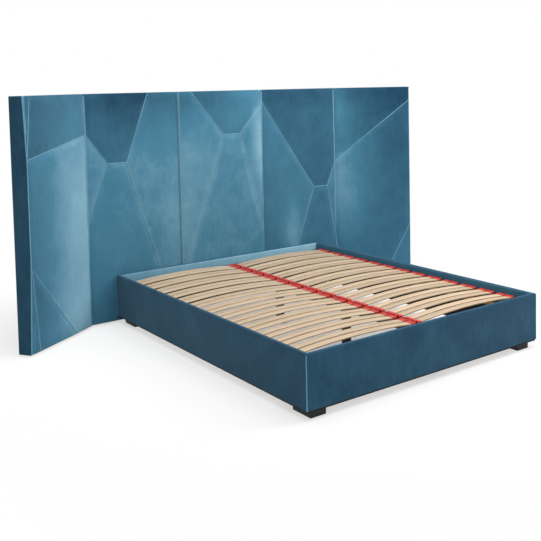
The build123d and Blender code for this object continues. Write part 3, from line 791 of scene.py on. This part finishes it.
def rail_cover(side):
    """A velvet cover over one rail: rounded top, lapped inside, mitred at both ends."""
    node = side + "_rail_cover"
    lo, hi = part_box(node)
    # modelled along X with its outer face at y = 0, and turned to its side at the end
    length, wall = sorted((hi.x - lo.x, hi.y - lo.y), reverse=True)
    cover = bar(side + "_rail_velvet", (-length / 2, 0, lo.z), (length / 2, wall, hi.z))
    top_round, tol = 0.0085, 0.001
    round_edges(cover, top_round, 5, lambda a, b: min(a.z, b.z) > hi.z - tol and abs(a.y - b.y) < tol)
    # cuts along the rail and up it, so the cloth can be uneven, and then the mitres
    step = 0.03
    slice_up(cover, [((k * step - length / 2, 0, 0), (1, 0, 0)) for k in range(1, int(length / step))])
    slice_up(cover, [((0, 0, lo.z + k * step), (0, 0, 1)) for k in range(1, int((hi.z - lo.z) / step))])
    slice_up(cover, [((sign * length / 2, 0, 0), (sign, 1, 0)) for sign in (-1, 1)], use_fill=True,
             clear_outer=True)
    # hollow it for the board: the outer wall, the top and an inner flap that ends above the floor stay
    outer_wall, top_wall, flap_from, flap_low = 0.0037, 0.0047, 0.0223, 0.227
    past, below = length / 2 + 0.05, lo.z - 0.1
    for y1, z1 in ((flap_from, hi.z - top_wall), (wall + 0.1, flap_low)):
        carve(cover, bar("hollow", (-past, outer_wall, below), (past, y1, z1)), "DIFFERENCE")
    # slow unevenness of stretched cloth over thin foam, outside only and away from the edges
    swell, ripple, hem = 0.0009, 0.0007, 0.02
    for v in cover.data.vertices:
        if v.co.y < tol and abs(v.co.x) < length / 2 - step and lo.z + hem < v.co.z < hi.z - hem:
            wave = math.sin(v.co.x * 9.0) * math.sin(v.co.z * 17.0 + v.co.x * 2.3)
            v.co.y -= swell + ripple * wave
    spin = Matrix.Rotation(math.radians({"foot": 0, "head": 180, "left": -90, "right": 90}[side]), 4, "Z")
    toward = spin @ Vector((0, 1, 0))
    middle = (lo + hi) / 2
    cover.data.transform(Matrix.Translation(Vector((middle.x, middle.y, 0)) - toward * wall / 2) @ spin)
    only(cover)
    bpy.ops.object.shade_smooth_by_angle(angle=math.radians(40))
    # painted shade: dark outside, darker towards the foot rail's right end, less dark inside; painted light
    # inside the head rail, lighter towards its right end
    inside = max(v.co.dot(toward) for v in cover.data.vertices)
    painted_light_shade = []
    for face in cover.data.polygons:
        along = face.center.x / lo.x
        value = 0.04 + 0.03 * along if side == "foot" else 0.02
        if face.normal.dot(toward) > 0.6 and face.center.dot(toward) > inside - 0.004:
            value = 0.82 - 0.12 * along if side == "head" else 0.34
        painted_light_shade.append(value)
    paint(cover, "painted_light_shade", painted_light_shade)
    coat(cover, shared(velvet))
    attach(cover, "bed")
    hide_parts(node)


class BED_OT_rails(bpy.types.Operator):
    """Make the velvet covers of the four rails and the corded seams at the corners"""
    bl_idname = "bed.rails"
    bl_label = "Rail covers"

    def execute(self, context):
        for side in ("foot", "head", "left", "right"):
            rail_cover(side)
        lo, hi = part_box("foot_rail_cover")
        _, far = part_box("head_rail_cover")
        # a cord lies half sunk in each corner and ends a little below the rounded top
        radius, inset, short, ease = 0.003, 0.0014, 0.006, 0.0007
        for i, (x, y) in enumerate(((lo.x, lo.y), (hi.x, lo.y), (lo.x, far.y), (hi.x, far.y))):
            place = (x - math.copysign(inset, x), y - math.copysign(inset, y), (lo.z + hi.z - short) / 2)
            bpy.ops.object.select_all(action="DESELECT")
            bpy.ops.mesh.primitive_cylinder_add(vertices=12, radius=radius, depth=hi.z - lo.z - short,
                                                location=place)
            welt = bpy.context.object
            welt.name = welt.data.name = f"box_corner_seam_{i + 1}"
            round_edges(welt, ease)
            settle(welt)
            bpy.ops.object.shade_smooth_by_angle(angle=math.radians(50))
            # the corner cords are painted lighter: a painted highlight
            paint(welt, "painted_light_shade", [BOX_WELT_HIGHLIGHT] * len(welt.data.polygons))
            coat(welt, shared(velvet))
            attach(welt, "bed")
        return {"FINISHED"}


# ---- slats and their holders
# how thick a holder is behind a slat's end
HOLDER_BACK = 0.003


def one_slat():
    """A bowed slat with eased edges, modelled on the right-hand column about y = 0."""
    s = bpy.context.scene.bed_sizes
    lo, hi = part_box("slat_row_01")
    x0, x1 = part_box("right_beam_caps")[0].x + HOLDER_BACK, hi.x
    middle, half = (x0 + x1) / 2, (x1 - x0) / 2
    slat = bar("slat", (x0, -s.slat_wide / 2, lo.z), (x1, s.slat_wide / 2, lo.z + s.slat_thick), 0.0016)
    parts = 14
    slice_up(slat, [((x0 + k * (x1 - x0) / parts, 0, 0), (1, 0, 0)) for k in range(1, parts)])
    mesh = slat.data
    uv = mesh.uv_layers.new(name="ply")
    for loop in mesh.loops:
        co = mesh.vertices[loop.vertex_index].co
        uv.data[loop.index].uv = (co.x, (co.z - lo.z) / s.slat_thick)
    for face in mesh.polygons:
        face.material_index = 1 if abs(face.normal.y) > 0.8 or abs(face.normal.x) > 0.8 else 0
        face.use_smooth = False
    radius = (half ** 2 + s.slat_bow ** 2) / (2 * s.slat_bow)
    for v in mesh.vertices:
        v.co.z += math.sqrt(radius ** 2 - (v.co.x - middle) ** 2) - (radius - s.slat_bow)
    only(slat)
    bpy.ops.object.shade_smooth_by_angle(angle=math.radians(35))
    return slat


class BED_OT_slats(bpy.types.Operator):
    """Make the bowed beech slats, four to a row"""
    bl_idname = "bed.slats"
    bl_label = "Slats"

    def execute(self, context):
        model = one_slat()
        wide = context.scene.bed_sizes.slat_wide
        # a step that spreads the tones evenly without repeating them
        step = 0.754877
        for row in range(1, 14):
            node = f"slat_row_{row:02d}"
            lo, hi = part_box(node)
            middle, gap = (lo.y + hi.y) / 2, (hi.y - lo.y - wide) / 2
            copies = []
            for k, (mirror, dy) in enumerate(((1, -gap), (1, gap), (-1, -gap), (-1, gap))):
                copy = copied(model, mirror, (0, middle + dy, 0))
                tone = 0.86 + 0.22 * ((row * 4 + k) * step % 1)
                paint(copy, "tone", [tone] * len(copy.data.polygons))
                copies.append(copy)
            slats = joined(f"beech_slats_{row:02d}", copies)
            coat(slats, shared(beech_face), shared(beech_edge))
            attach(slats, "slat_base")
            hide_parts(node)
        bpy.data.objects.remove(model)
        return {"FINISHED"}


def one_holder():
    """A twin slat holder about y = 0, right of the beam: two pockets, a waist, a ridge, a knob and an eye."""
    s = bpy.context.scene.bed_sizes
    lo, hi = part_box("right_beam_caps")
    slat_lo, slat_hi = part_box("slat_row_01")
    back, front, base = lo.x, hi.x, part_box("left_side_bar")[1].z
    height, side_wall, play, sunk = 0.015, 0.0022, 0.0004, 0.0004
    top, half_slat = base + height, s.slat_wide / 2
    half_mouth, twin = half_slat + play, (slat_hi.y - slat_lo.y) / 2 - half_slat
    half_pocket, half_ridge = half_mouth + side_wall, twin + half_slat + 0.0020
    half_waist, waist_to, waist_top = 0.010, back + 0.0125, top - 0.004
    ridge_x, ridge_to, ridge_top = back + 0.0047, back + 0.0090, top + 0.0025
    # a slat goes in up to just short of the holder's back, over its floor and under its roof
    mouth_from, mouth_to, floor, roof = back + 0.0028, front + 0.02, base + 0.0021, base + 0.0132

    def pocket(y):
        return bar("pocket", (back, y - half_pocket, base), (front, y + half_pocket, top), 0.0022)

    holder = pocket(twin)
    for tool in (
            pocket(-twin),
            bar("waist", (back + sunk, -half_waist, base + sunk), (waist_to, half_waist, waist_top), 0.0008),
            bar("ridge", (back + sunk, -half_ridge, top - 0.003), (ridge_to, half_ridge, ridge_top), 0.0011),
            stud("knob", (ridge_x, 0.010 - half_ridge, top + 0.001), 0.0046, 0.004, 0.001),
            stud("peg", ((back + front) / 2, 0, base - 0.0139), 0.0049, 0.016)):
        carve(holder, tool, "UNION")
    for y in (-twin, twin):
        carve(holder, bar("mouth", (mouth_from, y - half_mouth, floor), (mouth_to, y + half_mouth, roof)),
              "DIFFERENCE")
    carve(holder, stud("eye", (ridge_x, half_ridge / 3, top - 0.002), 0.0032, 0.010), "DIFFERENCE")
    only(holder)
    bpy.ops.object.shade_smooth_by_angle(angle=math.radians(35))
    return holder


class BED_OT_holders(bpy.types.Operator):
    """Make the red twin slat holders, two at each row's middle and one at each side"""
    bl_idname = "bed.holders"
    bl_label = "Slat holders"

    def execute(self, context):
        model = one_holder()
        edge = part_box("right_side_caps")[1].x
        # injection-moulded polypropylene: clear red with a soft gloss, and painted shade, nearly black, in
        # the crevices where slats go in
        red = plain("moulded_red_polypropylene", context.scene.bed_colours.red, 0.42, fleck_mm=3, fleck=0.05,
                    bump_mm=0.06, vary=0.06, crevice_shade_mm=24)
        columns = {"right_beam": (0, 1), "left_beam": (0, -1), "right_side": (edge, -1),
                   "left_side": (-edge, 1)}
        rows = [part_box(f"slat_row_{row:02d}") for row in range(1, 14)]
        for column, (back, direction) in columns.items():
            holders = joined(column + "_holders",
                             [copied(model, direction, (back, (lo.y + hi.y) / 2, 0)) for lo, hi in rows])
            coat(holders, red)
            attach(holders, "slat_base")
            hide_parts(column + "_caps")
        bpy.data.objects.remove(model)
        return {"FINISHED"}


# ---- the frame's own parts, and the studio
class BED_OT_finishes(bpy.types.Operator):
    """Give the frame's own parts their finishes"""
    bl_idname = "bed.finishes"
    bl_label = "Frame finishes"

    def execute(self, context):
        black = context.scene.bed_colours.black
        # woven lining stapled over the backing boards: dull black with a coarse, uneven thread
        lining = plain("black_lining_cloth", "#191B1F", 0.9, fleck_mm=2.5, fleck=0.25, bump_mm=0.4)
        # chipboard stained black, made near black so that its dark edge under the velvet also paints the
        # shadow line there
        stain_and_shadow = plain("black_board_and_painted_shadow", "#060708", 0.75, fleck_mm=3, fleck=0.15)
        # planed softwood: warm and matt, with grain drawn out along its length
        pine = plain("planed_pine", "#C9A673", 0.65, fleck_mm=6, fleck=0.12, stretch=(0.15, 0.15, 1))
        # sprayed lacquer on wooden blocks: near black, with a faint sheen
        lacquer = plain("black_lacquered_block", "#08090B", 0.55, fleck_mm=2, fleck=0.08, bump_mm=0.05)
        # powder coat on steel: even satin black with a fine orange peel
        powder = plain("satin_powder_coat", black, 0.5, fleck_mm=1.5, fleck=0.06, bump_mm=0.08)
        # moulded polypropylene legs: flat black, slightly mottled
        moulded = plain("moulded_black_plastic", black, 0.55, fleck_mm=2, fleck=0.08)
        # nylon glides: dark grey and smooth
        glide = plain("nail_on_glide", "#1B1B1C", 0.5, fleck_mm=2)
        # bright zinc on pressed steel: light grey metal with soft reflections
        zinc = plain("zinc_plated_steel", "#B9BCBF", 0.32, fleck_mm=5, fleck=0.08, metallic=1.0, bump_mm=0.03)
        finishes = ((("_rail_board",), stain_and_shadow), (("_board",), lining), (("_corner_block", "_ledger"), pine),
                    (("_foot",), lacquer), (("_bar", "_beam"), powder), (("_leg",), moulded),
                    (("_glides",), glide), (("_plates", "_screws", "_bolts"), zinc))
        for name, node in NODES.items():
            finish = next((mat for endings, mat in finishes if name.endswith(endings)), None)
            if finish:
                coat(node, finish)
        return {"FINISHED"}


def lamp(name, spot, target, size, power):
    """A square soft lamp aimed at a point."""
    bpy.ops.object.light_add(type="AREA", location=spot)
    light = bpy.context.object
    light.name = name
    light.data.size = size
    light.data.energy = power
    light.rotation_euler = (Vector(target) - Vector(spot)).to_track_quat("-Z", "Y").to_euler()


class BED_OT_stage(bpy.types.Operator):
    """Set the camera, the soft lamps, the pale surroundings and the floor"""
    bl_idname = "bed.stage"
    bl_label = "Studio"

    def execute(self, context):
        # camera at the photograph's place: yaw, pitch and roll in radians
        yaw, pitch, roll = -0.6480, -0.0636, -0.0187
        right = Vector((math.cos(yaw), math.sin(yaw), 0))
        ahead = Vector((-math.sin(yaw), math.cos(yaw), 0))
        up = Vector((0, 0, 1))
        look = ahead * math.cos(pitch) + up * math.sin(pitch)
        over = up * math.cos(pitch) - ahead * math.sin(pitch)
        across = right * math.cos(roll) + over * math.sin(roll)
        upright = over * math.cos(roll) - right * math.sin(roll)
        bpy.ops.object.camera_add()
        cam = context.object
        cam.name = "photograph_camera"
        turn = Matrix((across, upright, -look)).transposed().to_4x4()
        cam.matrix_world = Matrix.Translation((-3.0114, -2.9582 + CAD_BOX[0].y, 1.5571)) @ turn
        # a square frame, its focal length and the point that the lens looks at, all in pixels
        side, focal, centre_x, centre_y = 541, 821.57, 312, 135
        cam.data.sensor_fit = "HORIZONTAL"
        cam.data.lens = cam.data.sensor_width * focal / side
        cam.data.shift_x = (side / 2 - centre_x) / side
        cam.data.shift_y = (centre_y - side / 2) / side
        context.scene.camera = cam
        context.scene.view_settings.view_transform = "Standard"
        lamp("key_softbox", (1.9, -1.9, 2.55), (-0.4, 1.0, 0.7), 1.8, 72)
        lamp("top_softbox", (-0.3, -0.9, 4.4), (-0.3, -0.5, 0), 4.0, 170)
        # dim white all round, but plain white to the camera
        world = bpy.data.worlds.new("studio")
        context.scene.world = world
        world.use_nodes = True
        tree = world.node_tree
        tree.nodes.clear()
        seen = add(tree, "ShaderNodeLightPath").outputs["Is Camera Ray"]
        dim = add(tree, "ShaderNodeBackground", {"Color": (1, 1, 1, 1), "Strength": 0.42})
        white = add(tree, "ShaderNodeBackground", {"Color": (1, 1, 1, 1), "Strength": 1.0})
        mix = add(tree, "ShaderNodeMixShader", {0: seen, 1: dim, 2: white})
        add(tree, "ShaderNodeOutputWorld", {"Surface": mix})
        # the floor lies 0.5 mm under the feet, so the two don't flicker together
        bpy.ops.object.select_all(action="DESELECT")
        bpy.ops.mesh.primitive_plane_add(size=30, location=(0, 0, -0.0005))
        floor = context.object
        floor.name = "studio_floor"
        settle(floor)
        coat(floor, studio_floor(context.scene.bed_colours.floor))
        return {"FINISHED"}


class BED_PT_panel(bpy.types.Panel):
    """Shows the bed's sizes, colours and building steps in the sidebar"""
    bl_label = "Bed"
    bl_idname = "BED_PT_panel"
    bl_space_type = "VIEW_3D"
    bl_region_type = "UI"
    bl_category = "Bed"

    def draw(self, context):
        for group in (context.scene.bed_sizes, context.scene.bed_colours):
            column = self.layout.column()
            for name in group.__annotations__:
                column.prop(group, name)
        for kind in OPERATORS:
            self.layout.operator(kind.bl_idname)


OPERATORS = (BED_OT_stage, BED_OT_headboard, BED_OT_rails, BED_OT_slats, BED_OT_holders, BED_OT_finishes)


def register():
    for kind in (BedSizes, BedColours, *OPERATORS, BED_PT_panel):
        bpy.utils.register_class(kind)
    bpy.types.Scene.bed_sizes = bpy.props.PointerProperty(type=BedSizes)
    bpy.types.Scene.bed_colours = bpy.props.PointerProperty(type=BedColours)


def unregister():
    del bpy.types.Scene.bed_sizes, bpy.types.Scene.bed_colours
    for kind in (BED_PT_panel, *reversed(OPERATORS), BedColours, BedSizes):
        bpy.utils.unregister_class(kind)


def main():
    """Build the scene in order."""
    register()
    bpy.ops.bed.stage()
    bpy.ops.bed.headboard()
    bpy.ops.bed.rails()
    bpy.ops.bed.slats()
    bpy.ops.bed.holders()
    bpy.ops.bed.finishes()


if __name__ == "__main__":
    main()
